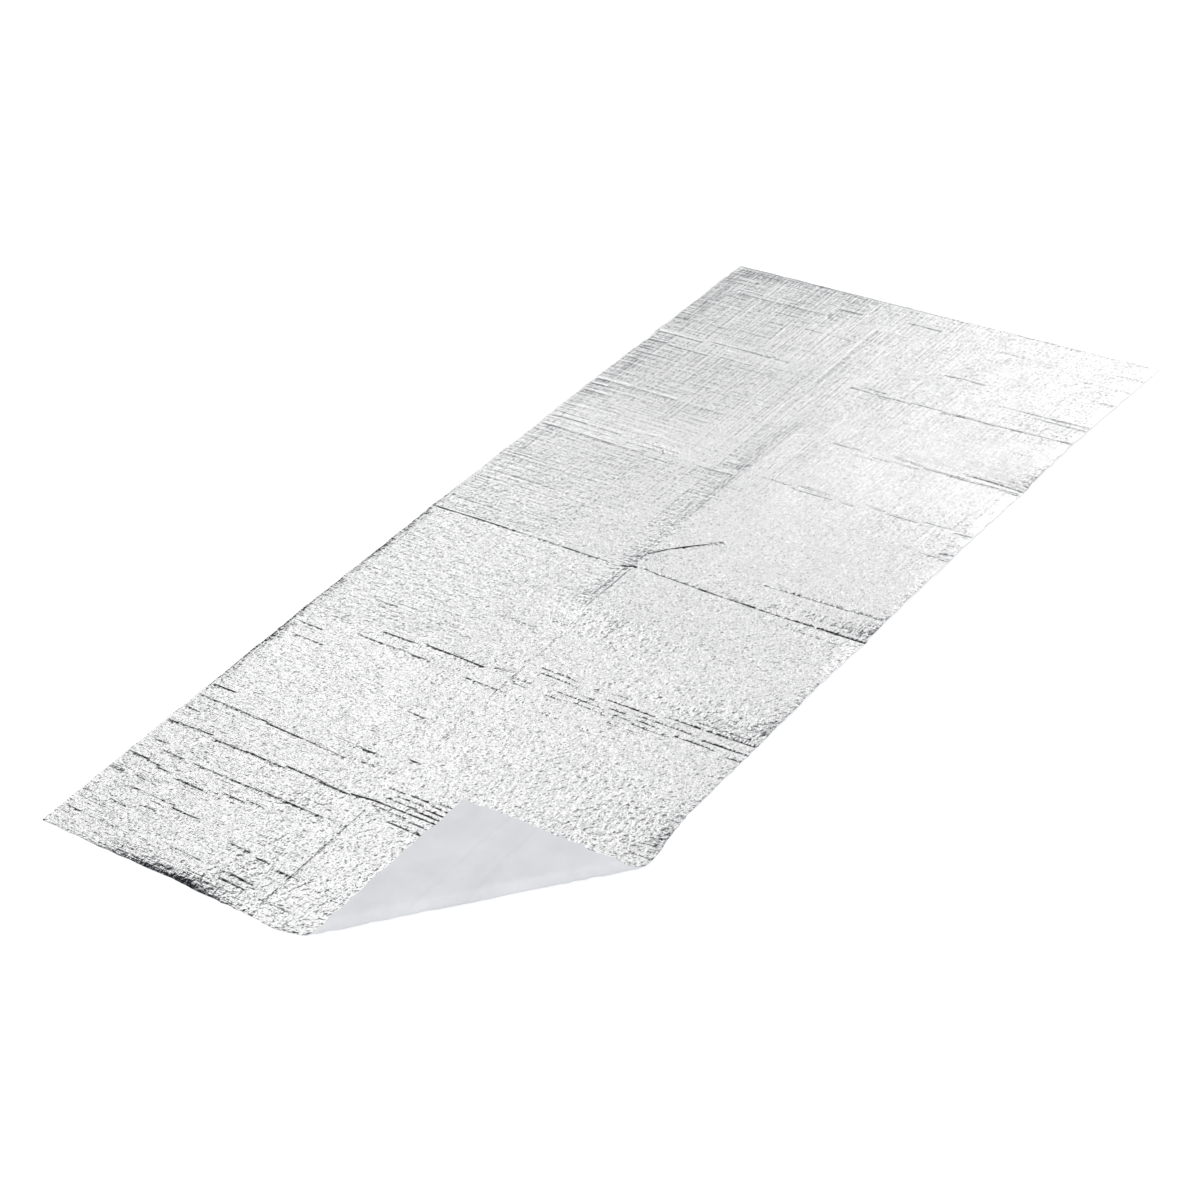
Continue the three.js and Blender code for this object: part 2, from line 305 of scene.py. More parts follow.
    (135, 192, 205, 192, 1.05, 3.1, 0.1),
    (200, 198, 255, 198, 0.52, 2.6, 0.4),
    (245, 204, 300, 204, 0.6, 3.1, 0.2),
    (295, 212, 345, 212, 0.5, 3.1, 0.3),
    (5, 162, 45, 162, 0.6, 3.1, 0.3),
    (60, 167, 130, 167, 0.52, 2.6, 0.4),
    (65, 141, 190, 141, 0.5, 3.1, 0.5),
    (190, 133, 270, 133, 0.75, 3.1, 0.2),
    (140, 114, 165, 114, 0.58, 2.8, 0.2),
    (345, 114, 400, 114, 0.6, 3.1, 0.3),
    (415, 110, 450, 110, 0.65, 3.1, 0.2),
    (470, 105, 520, 105, 0.6, 3.1, 0.2),
    (550, 101, 600, 101, 0.35, 2.6, 0.4),
    (70, 97, 115, 97, 0.7, 3.1, 0.2),
    (0, 94, 30, 94, 0.55, 3.1, 0.3),
    (30, 79, 80, 79, 0.5, 2.7, 0.2),
    (255, 55, 340, 55, 0.55, 3.1, 0.4),
    (390, 58, 460, 58, 0.58, 2.8, 0.3),
    (390, 41, 460, 41, 0.65, 3.1, 0.2),
    (490, 37, 570, 37, 0.58, 2.8, 0.4),
    (5, 49, 60, 49, 0.56, 2.7, 0.2),
    # Creases that run along the sheet, at and beside the lengthwise fold
    (505, 15, 503, 290, -0.46, 2.4, 0.35),
    (498, 490, 497, 830, -0.4, 2.6, 0.6),
    (486, 900, 490, 1030, -0.5, 2.6, 0.3),
    (472, 930, 477, 1030, -0.4, 2.6, 0.4),
    (426, 1100, 426, 1900, -0.2, 3, 0.5),
    (390, 1150, 390, 1950, -0.2, 3, 0.5),
    (300, 1300, 300, 1980, -0.2, 3, 0.5),
    (247, 1700, 247, 1980, 0.1, 3, 0.5),
    (163, 1650, 163, 1900, 0.12, 3, 0.5),
    (123, 1600, 123, 1960, 0.1, 3, 0.4),
    (53, 1570, 53, 1985, 0.12, 3, 0.4),
    # The wrinkle that runs aslant from the trough, in straight lengths
    (489, 1079, 513, 1106, 0.7, 2.3, 0.35),
    (513, 1106, 545, 1133, 0.85, 2.4, 0.35),
    (545, 1133, 580, 1159, 0.75, 2.4, 0.35),
    (580, 1159, 598, 1171, 0.5, 2.3, 0.4),
))

# The steep face's share of the width, which is more for a low or a wide crease, the taper of its ends, the
# step of its gaps and the unevenness at which one is full, how far before the corner's bend creases ease
# off, and how much of the thickness a trough may take up
CREASE_STEEP_SHARE = 0.35
GENTLE_HEIGHT = 0.55
GENTLE_WIDTH = 4
GENTLE_SHARE = 0.9
CREASE_ENDS = 3
GAP_STEP = 14
GAP_FULL = 0.6
CREASE_SEED = 100
DETAIL_EASES = 20
FOIL_SINKS = 0.85

# Slow unevenness of the whole sheet, and how many values noise has along a line and each way over the sheet
UNEVEN_HEIGHT = 0.3
UNEVEN_SPAN = 60
UNEVEN_SEED = 1
LINE_VALUES = 128
NOISE_REPEAT = 64

# The cut edge: pinched thin, a little uneven, and turned up along the left side
EDGE_REACH = 2
EDGE_PINCH = 0.1
EDGE_UNEVEN = 1.5
EDGE_SPAN = 11
EDGE_SEED = 2
LIP_HEIGHT = 1.1
LIP_WIDTH = 3.5
LIP_FROM = 250
LIP_FULL = 550
LIP_EASES_FROM = 1000
LIP_EASES_TO = 1250
LIP_LEAST = 0.3

# Where the far end starts to be drawn in, and its right corner to spread out
FAR_DRAW_FROM = 1450
FLARE_FROM = 1700

# The left edge of the far part and the far edge droop a little
DROOP = 1.2
DROOP_REACH = 42
DROOP_FROM = 950
DROOP_FULL = 1300
DROOP_EASES = 210
DROOP_ENDS_FROM = 252
FAR_DROOP = 0.3
FAR_DROOP_REACH = 40

# Half the distance over which slopes are measured
PROBE = 0.5

# Lattice of the flat sheet: columns over three strips and rows over each panel, gathered at the folds
MIDDLE_STRIP = (462, 518)
STRIP_COLUMNS = (23, 18, 27)
PANEL_ROWS = (60, 66, 60, 54, 32, 32, 50)
ROW_GATHERING = 0.35
COLUMN_GATHERING = 0.5

# Cuts in the lattice: strips of the bend, faces within reach of a crease, the bands that they are looked up
# in, and how near a vertex a cut runs through it; and the angle from which an edge is sharp
BEND_STRIPS = 10
CREASE_REACH = 9
CREASE_BAND = 25
SNAP = 0.05
SHARP_ANGLE = math.radians(24)

# Grain of the foil. Each range runs over distances on the flat sheet in metres, from one share to another:
# crinkles all over, dashes across the near left, a hatch of long lines at the far left, and small facets.
CRINKLES_EASE = ((0.1, 0.7), (1.0, 0.8))
CRINKLES_FADE = ((0.95, 1.4), (1.0, 0.25))
DASHES_TO_RIGHT = ((0.2, 0.65), (1.0, 0.3))
DASHES_TO_FAR = ((0.3, 1.3), (1.0, 0.2))
HATCH_TO_RIGHT = ((0.3, 0.75), (1.0, 0.4))
HATCH_TO_FAR = ((0.5, 1.3), (0.15, 1.0))
FACETS_TO_FAR = ((0.9, 1.4), (1.0, 0.6))
EVEN = (1.0, 1.0, 1.0)
DASH_STRETCH = (0.12, 1.0, 1.0)
HATCH_ACROSS = (0.05, 1.0, 1.0)
HATCH_ALONG = (1.0, 0.05, 1.0)
LINE_SPACING = 0.6
GRAIN_DETAIL = 2.0
GRAIN_ROUGHNESS = 0.6
PATCH_SCALE = 30.0
PATCH_DETAIL = 3.0
PATCH_ROUGHNESS = 0.06

# Foam: its mottling, the painted shade of faint creases on the turned corner, given as distances along the
# flat sheet, and its fine cells. These darker painted shade lines wander with the mottling, by metres, and
# their width and the cells' depth are in metres.
MOTTLING_SCALE = 14.0
MOTTLING_DETAIL = 4.0
MOTTLING_ROUGHNESS = 0.6
MOTTLING_RANGE = (0.3, 0.7)
MOTTLING_TONES = (0.93, 1.04)
FOAM_CREASE_SHADE = (111, 176)
SHADE_LINE_WANDERS = 0.03
SHADE_LINE_WIDTH = 0.007
SHADE_LINE_TONE = 0.965
CELL_SCALE = 400.0
CELL_DETAIL = 2.0
CELL_DEPTH = 0.0001

# Soft boxes beyond the sheet: bearing from +X, rise above the floor and spread, in degrees, and light.
# The band of sky that they stand in is given by the upward part of a direction, with its light there.
SoftBox = namedtuple("SoftBox", "bearing rise spread light")
SOFT_BOXES = (
    SoftBox(131, 20, 37, 0.73),
    SoftBox(132, 28, 30, 0.5),
    SoftBox(150, 36, 14, 0.88),
    SoftBox(116, 32, 14, 1.0),
)
BAND_UP = (0.388, 0.529, 0.632, 0.69, 0.84)
BAND_LIGHT = (0.18, 0.734, 0.85, 0.84, 0.0)

# Light from all other sides: how it grows away from the bearing of the soft boxes, rises from the floor and
# falls off overhead, and the least light of the sky
WINDOW_BEARING = 132
FILL_LIGHT = 0.85
FILL_AWAY = (0.56, 0.76)
FILL_RISES = (0.0, 0.35)
FILL_LOW_SHARE = 0.35
FILL_FALLS = (0.45, 0.7)
DARK_LIGHT = 0.01

# Where the sky is dark it is also bluer
DARK_TINT = (0.75, 0.82, 1.0, 1.0)
BRIGHT_TINT = (1.0, 1.0, 1.0, 1.0)
TINT_CLEARS = 1.8

# Lamps, aimed at the middle of the sheet, and the floor, with sizes and places in metres
TOP_LAMP_SIZE = 32.0
TOP_LAMP_PLACE = (0.0, 0.0, 12.0)
FRONT_LAMP_SIZE = 20.0
FRONT_LAMP_PLACE = (14.0, -13.6, 14.0)
FLOOR_REACH = 30.0
FLOOR_LEVEL = -0.0003
FLOOR_ROUGHNESS = 0.9


class GroundSheetSizes(PropertyGroup):
    """The sheet as it is cut and how it lies."""

    width: FloatProperty(
        name="Width", description="Across the flat sheet", default=1.0, unit="LENGTH"
    )
    length: FloatProperty(
        name="Length", description="Along the flat sheet", default=2.0, unit="LENGTH"
    )
    thickness: FloatProperty(
        name="Thickness", description="Foam and foil together", default=0.002, unit="LENGTH"
    )
    left_bow: FloatProperty(
        name="Left bow", description="How far the left edge bows out at mid length",
        default=0.009, unit="LENGTH",
    )
    left_taper: FloatProperty(
        name="Left taper", description="How far the left edge runs in by the far end",
        default=0.0065, unit="LENGTH",
    )
    far_draw: FloatProperty(
        name="Far draw", description="How far the creases draw the far edge in",
        default=0.008, unit="LENGTH",
    )
    right_bow: FloatProperty(
        name="Right bow", description="How far the right edge bows in at mid length",
        default=0.009, unit="LENGTH",
    )
    right_flare: FloatProperty(
        name="Right flare", description="How far the far right corner spreads out",
        default=0.007, unit="LENGTH",
    )
    corner_near: FloatProperty(
        name="Corner on near edge", description="Length of near edge that the turned corner takes",
        default=0.4, unit="LENGTH",
    )
    corner_right: FloatProperty(
        name="Corner on right edge", description="Length of right edge that the turned corner takes",
        default=0.4, unit="LENGTH",
    )
    bend_radius: FloatProperty(
        name="Bend radius", description="Of the turned corner, to the middle of the foam",
        default=0.0105, unit="LENGTH",
    )
    tip_gap: FloatProperty(
        name="Tip gap", description="From the tip of the turned corner down to the sheet",
        default=0.0012, unit="LENGTH",
    )
    crease_share: FloatProperty(
        name="Crease share", description="Strength of the sharp creases", default=1.0, subtype="FACTOR"
    )


class FoilFinish(PropertyGroup):
    """The bright, crinkled face."""

    colour: FloatVectorProperty(
        name="Foil colour", description="Tint of the metal", subtype="COLOR", size=4,
        default=(0.9, 0.9, 0.9, 1.0),
    )
    roughness: FloatProperty(
        name="Roughness", description="Mean roughness of the metal", default=0.17, subtype="FACTOR"
    )
    crinkle_size: FloatProperty(
        name="Crinkle size", description="Spacing of the fine crinkles", default=0.0115, unit="LENGTH"
    )
    crinkle_depth: FloatProperty(
        name="Crinkle depth", description="Depth of the fine crinkles", default=0.001, unit="LENGTH"
    )
    dash_depth: FloatProperty(
        name="Dash depth", description="Depth of the dashes across the sheet", default=0.0008, unit="LENGTH"
    )
    streak_depth: FloatProperty(
        name="Streak depth", description="Depth of the hatch of long lines on the far part",
        default=0.00042, unit="LENGTH",
    )
    facet_size: FloatProperty(
        name="Facet size", description="Size of the smallest facets", default=0.0036, unit="LENGTH"
    )
    facet_tilt: FloatProperty(
        name="Facet tilt", description="How far the smallest facets lean", default=0.05, subtype="FACTOR"
    )


class FoamFinish(PropertyGroup):
    """The white foam side and the cut edge."""

    colour: FloatVectorProperty(
        name="Foam colour", description="Colour of the foam", subtype="COLOR", size=4,
        default=(0.61, 0.62, 0.645, 1.0),
    )
    roughness: FloatProperty(
        name="Foam roughness", description="Roughness of the foam", default=0.55, subtype="FACTOR"
    )


class StageSetup(PropertyGroup):
    """Floor, light and camera."""

    floor_colour: FloatVectorProperty(
        name="Floor colour", description="Colour of the floor", subtype="COLOR", size=4,
        default=(0.95, 0.95, 0.95, 1.0),
    )
    top_light: FloatProperty(
        name="Top light", description="Power of the soft light overhead", default=3000.0, unit="POWER"
    )
    front_light: FloatProperty(
        name="Front light", description="Power of the soft light by the camera", default=1880.0,
        unit="POWER",
    )
    azimuth: FloatProperty(
        name="Camera azimuth", description="Round the sheet, from looking along it",
        default=math.radians(46.23), subtype="ANGLE",
    )
    elevation: FloatProperty(
        name="Camera elevation", description="Above the floor", default=math.radians(35.36), subtype="ANGLE"
    )
    roll: FloatProperty(
        name="Camera roll", description="Turn of the camera about its view", default=math.radians(-11.98),
        subtype="ANGLE",
    )
    distance: FloatProperty(
        name="Camera distance", description="From the point aimed at", default=5.165, unit="LENGTH"
    )
    aim: FloatVectorProperty(
        name="Aim", description="Point on the floor in the middle of the picture", size=3,
        default=(-0.0094, -0.0662, 0.0), subtype="XYZ",
    )
    view_angle: FloatProperty(
        name="View angle", description="Across the picture", default=math.radians(23.55), subtype="ANGLE"
    )


def smooth(x, low, high):
    """Eases from 0 at low to 1 at high."""
    t = np.clip((x - low) / (high - low), 0.0, 1.0)
    return t * t * (3.0 - 2.0 * t)


def uneven(x, step, seed):
    """Unevenness from -1 to 1 along a line, with a new value every step."""
    values = np.random.default_rng(seed).uniform(-1.0, 1.0, LINE_VALUES)
    return np.interp(x / step, np.arange(len(values)), values)


def smooth_noise(u, v, span, seed):
    """Smooth unevenness from -1 to 1 over the sheet, with a new value every span each way."""
    values = np.random.default_rng(seed).uniform(-1.0, 1.0, (NOISE_REPEAT, NOISE_REPEAT))
    column, row = np.floor(u / span).astype(int), np.floor(v / span).astype(int)
    ease_u, ease_v = smooth(u / span - column, 0, 1), smooth(v / span - row, 0, 1)

    def value(right, up):
        return values[(column + right) % NOISE_REPEAT, (row + up) % NOISE_REPEAT]

    near = value(0, 0) * (1 - ease_u) + value(1, 0) * ease_u
    far = value(0, 1) * (1 - ease_u) + value(1, 1) * ease_u
    return near * (1 - ease_v) + far * ease_v


def in_millimetres(sizes):
    """The sheet's sizes in millimetres, and what follows from them."""
    names = ("width", "length", "thickness", "left_bow", "left_taper", "far_draw", "right_bow")
    names += ("right_flare", "corner_near", "corner_right", "bend_radius", "tip_gap")
    cut = SimpleNamespace(**{name: getattr(sizes, name) / MM for name in names})
    cut.crease_share = sizes.crease_share
    cut.across_bend = np.array((cut.corner_right, -cut.corner_near))
    cut.bend_line = np.linalg.norm(cut.across_bend)
    cut.across_bend /= cut.bend_line
    cut.along_bend = np.array((-cut.across_bend[1], cut.across_bend[0]))
    depth = past_bend(cut, cut.width, 0.0)
    drop = 2 * cut.bend_radius - cut.thickness - cut.tip_gap
    cut.bend_turn = math.pi + math.asin(drop / (depth - math.pi * cut.bend_radius))
    cut.bend_length = cut.bend_radius * cut.bend_turn
    return cut


def past_bend(cut, u, v):
    """Distance past the start of the corner's bend, towards the corner."""
    return (u - (cut.width - cut.corner_near)) * cut.across_bend[0] + v * cut.across_bend[1]


def along_bend(cut, u, v):
    """Distance along the corner's bend, from its end on the near edge."""
    return (u - (cut.width - cut.corner_near)) * cut.along_bend[0] + v * cut.along_bend[1]


def fold_line(cut, fold, u):
    """How far along the sheet a fold lies at u."""
    places = (0, TROUGH_LEFT, TROUGH_RIGHT, cut.width)
    return np.interp(u, places, (fold.left, fold.mid_left, fold.mid_right, fold.right))


def panel_height(cut, u, v, side):
    """Height of the folds and panels of one half, before it fades towards the half's sides."""
    height = np.zeros_like(u)
    for fold, after in zip(FOLDS, FOLDS[1:]):
        start = fold_line(cut, fold, u)
        along = (v - start) / (fold_line(cut, after, u) - start)
        from_peak = (along - fold.peak) / np.where(along < fold.peak, fold.peak, 1 - fold.peak)
        crown = 1 - np.abs(from_peak) ** SWELL_SQUARENESS
        rise = getattr(fold, "rise_" + side)
        climb = getattr(after, "rise_" + side) - rise
        panel = rise + climb * along + getattr(fold, "swell_" + side) * crown
        height = np.where((along >= 0) & (along <= 1), panel, height)
    return height


def crest_relief(u, v):
    """The lengthwise fold's crest: it climbs from the left ever more steeply and eases off to the right."""
    afar = smooth(v, CREST_SINKS_FROM, CREST_SINKS_TO)
    height = CREST_HEIGHT + (CREST_HEIGHT_AFAR - CREST_HEIGHT) * afar
    climb = np.clip(1 - (CREST_AT - u) / CREST_LEFT, 0, 1) ** 2
    ease = 1 - smooth(u, CREST_AT, CREST_AT + CREST_RIGHT)
    stretch = smooth(v, CREST_FROM, CREST_FULL) * (1 - smooth(v, CREST_ENDS_FROM, CREST_ENDS))
    return height * climb * ease * stretch


def right_share(cut, u):
    """0 as far as the trough's right side, growing to 1 at the right edge."""
    return np.clip((u - TROUGH_RIGHT) / (cut.width - TROUGH_RIGHT), 0, 1)


def fold_relief(cut, u, v):
    """Broad relief of the folds: eased on the left half, growing to the edge on the right half."""
    out = (TROUGH_LEFT - u) / TROUGH_LEFT
    easing = 1 - (1 - LEFT_RELIEF_AT_EDGE) * smooth(out, LEFT_RELIEF_EASES_AT, 1)
    left = smooth(out, 0, LEFT_RELIEF_FULL) * easing * panel_height(cut, u, v, "left")
    right = right_share(cut, u) ** RIGHT_RELIEF_POWER * panel_height(cut, u, v, "right")
    return np.where(u < TROUGH_LEFT, left, right) + crest_relief(u, v)


def curl_relief(u, v):
    """The near edge, which stands up a little and rolls over to the floor."""
    share = smooth(u, CURL_FROM, CURL_PEAK) * (1 - smooth(u, CURL_PEAK, CURL_TO))
    rolled = 1 - np.exp(-np.maximum(v, 0) / CURL_ROLL)
    return CURL_HEIGHT * share * rolled * (1 - smooth(v, CURL_EASES_FROM, CURL_REACH))


def crease_sides(crease):
    """How far a crease reaches to its near side and to its far side."""
    gentle = abs(crease.height) < GENTLE_HEIGHT or crease.width > GENTLE_WIDTH
    steep = (GENTLE_SHARE if gentle else CREASE_STEEP_SHARE) * crease.width
    return (-crease.width, steep) if crease.height > 0 else (-steep, crease.width)


def crease_relief(u, v):
    """Height of sharp creases, each a ridge or trough with straight sides."""
    height = np.zeros_like(u)
    for number, crease in enumerate(CREASES):
        run_u = crease.end_u - crease.start_u
        run_v = crease.end_v - crease.start_v
        length = math.hypot(run_u, run_v)
        along = ((u - crease.start_u) * run_u + (v - crease.start_v) * run_v) / length
        beside = ((v - crease.start_v) * run_u - (u - crease.start_u) * run_v) / length
        near, far = crease_sides(crease)
        side = np.clip(1 - np.where(beside < 0, beside / near, beside / far), 0, 1)
        ends = smooth(along, -CREASE_ENDS, CREASE_ENDS)
        ends = ends * (1 - smooth(along, length - CREASE_ENDS, length + CREASE_ENDS))
        gap = smooth(uneven(along, GAP_STEP, CREASE_SEED + number), 0.0, GAP_FULL)
        height += crease.height * side * ends * (1 - crease.broken * gap)
    return height


def calm(cut, u, v):
    """0 under and around the turned corner, where the sheet lies flat, and 1 away from it."""
    clear = np.maximum(cut.width - cut.corner_near - u, v - cut.corner_right)
    return smooth(clear, 0, CALM_REACH)


def droop_relief(cut, u, v):
    """How far the sheet stands above its drooping left and far edges, in the far part."""
    far = smooth(v, DROOP_FROM, DROOP_FULL) * smooth(cut.length - v, 0, FAR_DROOP_REACH)
    height = FAR_DROOP + (DROOP - FAR_DROOP) * (1 - smooth(u, DROOP_REACH, DROOP_EASES))
    return far * height * smooth(u, 0, DROOP_REACH) * (1 - smooth(u, DROOP_ENDS_FROM, TROUGH_LEFT))


def relief(cut, u, v):
    """Height of the sheet's underside."""
    return calm(cut, u, v) * fold_relief(cut, u, v) + curl_relief(u, v) + droop_relief(cut, u, v)


def foil_detail(cut, u, v):
    """What the foil face adds to the broad relief: wrinkle, sharp creases and slow unevenness."""
    sharp = crease_relief(u, v)
    slow = smooth_noise(u, v, UNEVEN_SPAN, UNEVEN_SEED)
    before_bend = 1 - smooth(past_bend(cut, u, v), -DETAIL_EASES, 0)
    return before_bend * (cut.crease_share * sharp + UNEVEN_HEIGHT * calm(cut, u, v) * slow)


def lip_relief(u, v):
    """The lip that is turned up along the left edge, most in the near half."""
    share = smooth(v, LIP_FROM, LIP_FULL) * (1 - smooth(v, LIP_EASES_FROM, LIP_EASES_TO))
    return LIP_HEIGHT * np.clip(1 - u / LIP_WIDTH, 0, 1) * np.maximum(share, LIP_LEAST)


def near_draw(u, v, past):
    """How far the rolled near edge is drawn in."""
    share = smooth(u, DRAWN_FROM, DRAWN_FULL) * (1 - smooth(past, -DRAWN_EASES, 0))
    return DRAWN_IN * share * (1 - smooth(v, 0, CURL_REACH))


def corner_slide(cut, past, beside):
    """How far the turned corner slides along its bend, with its two sides drawn in."""
    way = np.clip(beside / cut.bend_line, 0, 1)
    slide_from = SLIDE_FROM_NEAR + (SLIDE_FROM_RIGHT - SLIDE_FROM_NEAR) * way
    narrowed = FLAP_NARROWS * (1 - 2 * beside / cut.bend_line) * smooth(past, 0, cut.bend_length)
    return FLAP_SLIDES * smooth(past, slide_from, SLIDE_FULL) + narrowed


def side_shift(cut, u, v, across, along):
    """How far points move across for the bowed sides, the tapered left and the spread far right corner."""
    middleness = 4 * (along / cut.length) * (1 - along / cut.length)
    bow = (cut.left_bow + (cut.right_bow - cut.left_bow) * across / cut.width) * middleness
    taper = cut.left_taper * np.clip(1 - u / TROUGH_LEFT, 0, 1) * v / cut.length
    flare = cut.right_flare * right_share(cut, u) * smooth(v, FLARE_FROM, cut.length)
    return taper + flare - bow


def edge_share(cut, u, v):
    """1 on the sheet's cut edge, falling to 0 a little way in."""
    inside = np.minimum(np.minimum(u, cut.width - u), np.minimum(v, cut.length - v))
    return np.clip(1 - inside / EDGE_REACH, 0, 1)


def place(cut, u, v, share):
    """Where points of the flat sheet come to lie; share is 0 on the foam face and 1 on the foil face."""
    edge = edge_share(cut, u, v)
    above = share * cut.thickness * (1 - EDGE_PINCH * edge)
    height = relief(cut, u, v)
    slope_u = (relief(cut, u + PROBE, v) - relief(cut, u - PROBE, v)) / (2 * PROBE)
    slope_v = (relief(cut, u, v + PROBE) - relief(cut, u, v - PROBE)) / (2 * PROBE)
    steepness = np.sqrt(slope_u**2 + slope_v**2 + 1)

    beside = along_bend(cut, u, v)
    past = past_bend(cut, u, v)
    past = past + BEND_STRAYS * smooth_noise(beside, np.zeros_like(u), BEND_SPAN, BEND_SEED)
    turn = np.clip(past / cut.bend_length, 0, 1) * cut.bend_turn
    run = np.maximum(past - cut.bend_length, 0)
    middle = cut.bend_radius + cut.thickness / 2
    radius = middle - above / steepness
    moved = np.minimum(past, 0) + radius * np.sin(turn) + run * np.cos(turn) - past
    slid = corner_slide(cut, past, beside)

    across = u + moved * cut.across_bend[0] + slid * cut.along_bend[0] - slope_u * above / steepness
    along = v + moved * cut.across_bend[1] + slid * cut.along_bend[1] - slope_v * above / steepness
    along = along + near_draw(u, v, past)
    far_draw = cut.far_draw * np.clip((v - FAR_DRAW_FROM) / (cut.length - FAR_DRAW_FROM), 0, 1)
    fray = EDGE_UNEVEN * edge * smooth_noise(u, v, EDGE_SPAN, EDGE_SEED)
    up = middle - radius * np.cos(turn) + run * np.sin(turn) + height + lip_relief(u, v)
    up = up + share * np.maximum(foil_detail(cut, u, v), -FOIL_SINKS * above)
    across = across + side_shift(cut, u, v, across, along)
    return np.stack((across + fray, along - far_draw + fray, up), axis=1)


def column_places(cut):
    """Distances across the sheet of the lattice's columns, gathered at the lengthwise fold."""
    left, right = MIDDLE_STRIP
    last_left, last_right = LIP_WIDTH, cut.width - EDGE_REACH

    def spread(count):
        t = np.arange(1, count + 1) / count
        return COLUMN_GATHERING * t + (1 - COLUMN_GATHERING) * t**2

    near_left = left + (last_left - left) * spread(STRIP_COLUMNS[0])
    middle = np.linspace(left, right, STRIP_COLUMNS[1] + 1)
    near_right = right + (last_right - right) * spread(STRIP_COLUMNS[2])
    return np.concatenate(([0.0], near_left[::-1], middle, near_right, [cut.width]))


def row_steps():
    """The panel of each row of the lattice, and how far it lies from one fold to the next."""
    steps = [(0, 0.0)]
    for panel, count in enumerate(PANEL_ROWS):
        for row in range(1, count + 1):
            t = row / count
            steps.append((panel, t - ROW_GATHERING * math.sin(2 * math.pi * t) / (2 * math.pi)))
    return steps


def cut_lines(bm, faces, points, direction):
    """Cuts faces along lines through the points, square to direction, and returns the new faces."""
    parts = list({part for face in faces for part in (*face.verts, *face.edges, face)})
    for point in points:
        parts = bmesh.ops.bisect_plane(
            bm, geom=parts, dist=SNAP, plane_co=(*point, 0.0), plane_no=(*direction, 0.0)
        )["geom"]
    return set(part for part in parts if isinstance(part, bmesh.types.BMFace)) - set(faces)


def cut_bend(bm, cut):
    """Cuts the flat sheet into strips where the corner bends."""
    start = np.array((cut.width - cut.corner_near, 0.0))
    reach = cut.bend_length + CREASE_BAND
    faces = []
    for face in bm.faces:
        middle = face.calc_center_median()
        if -CREASE_BAND < past_bend(cut, middle.x, middle.y) < reach:
            faces.append(face)
    strips = np.linspace(0, cut.bend_length, BEND_STRIPS + 1)
    cut_lines(bm, faces, [start + cut.across_bend * at for at in strips], cut.across_bend)


def cut_creases(bm):
    """Cuts the flat sheet along both sides and the middle of each crease."""
    bands = {}

    def keep(faces):
        for face in faces:
            bands.setdefault(face.calc_center_median().y // CREASE_BAND, []).append(face)

    keep(bm.faces)
    for crease in CREASES:
        start = Vector((crease.start_u, crease.start_v))
        run = Vector((crease.end_u, crease.end_v)) - start
        across = Vector((-run.y, run.x)).normalized()
        length = run.length
        run.normalize()
        first = (min(crease.start_v, crease.end_v) - CREASE_REACH) // CREASE_BAND
        last = (max(crease.start_v, crease.end_v) + CREASE_REACH) // CREASE_BAND
        faces = []
        for band in range(int(first), int(last) + 1):
            for face in bands.get(band, ()):
                middle = face.calc_center_median().xy - start
                along = middle.dot(run)
                if abs(middle.dot(across)) < CREASE_REACH and -CREASE_ENDS < along < length + CREASE_ENDS:
                    faces.append(face)
        near, far = crease_sides(crease)
        made = cut_lines(bm, faces, [start + across * side for side in (near, 0.0, far)], across)
        stops = [-CREASE_ENDS, CREASE_ENDS, length - CREASE_ENDS, length + CREASE_ENDS]
        if crease.broken:
            stops += list(np.arange(GAP_STEP, length - CREASE_ENDS, GAP_STEP))
        keep(made | cut_lines(bm, faces + list(made), [start + run * stop for stop in stops], run))


def flat_slab(cut):
    """The flat sheet as a closed slab: z is 0 on the foam face and 1 on the foil face."""
    columns = column_places(cut)
    steps = row_steps()
    lines = [fold_line(cut, fold, columns) for fold in FOLDS]
    bm = bmesh.new()
    last_column = len(columns) - 1
    last_row = len(steps) - 1
    bmesh.ops.create_grid(bm, x_segments=last_column, y_segments=last_row, size=0.5)
    for vert in bm.verts:
        column = round((vert.co.x + 0.5) * last_column)
        panel, step = steps[round((vert.co.y + 0.5) * last_row)]
        start, end = lines[panel][column], lines[panel + 1][column]
        vert.co = (columns[column], start + (end - start) * step, 0.0)
    cut_bend(bm, cut)
    cut_creases(bm)

    sheet = bm.verts[:] + bm.edges[:] + bm.faces[:]
    raised = bmesh.ops.extrude_face_region(bm, geom=sheet, use_keep_orig=True)["geom"]
    for vert in raised:
        if isinstance(vert, bmesh.types.BMVert):
            vert.co.z = 1.0
    bmesh.ops.recalc_face_normals(bm, faces=bm.faces[:])
    flat_map = bm.loops.layers.uv.new(FLAT_MAP)
    for face in bm.faces:
        face.smooth = True
        face.material_index = 0 if min(vert.co.z for vert in face.verts) > 0.5 else 1
        for loop in face.loops:
            loop[flat_map].uv = loop.vert.co.xy * MM
    return bm


def lay_sheet(sizes):
    """Makes the sheet and lays it on the floor over its solid."""
    cut = in_millimetres(sizes)
    bm = flat_slab(cut)
    mesh = bpy.data.meshes.new("foil_ground_sheet")
    bm.to_mesh(mesh)
    bm.free()
    flat = np.empty(len(mesh.vertices) * 3)
    mesh.vertices.foreach_get("co", flat)
    u, v, share = flat.reshape(-1, 3).T
    low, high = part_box(SHEET_NODE)
    corner = np.array((low.x + SOLID_LEFT_BOW * MM, (low.y + high.y - sizes.length) / 2, 0.0))
    mesh.vertices.foreach_set("co", (place(cut, u, v, share) * MM + corner).ravel())
    mesh.update()
    mesh.set_sharp_from_angle(angle=SHARP_ANGLE)
    sheet = bpy.data.objects.new("foil_ground_sheet", mesh)
    bpy.context.scene.collection.objects.link(sheet)
    return sheet


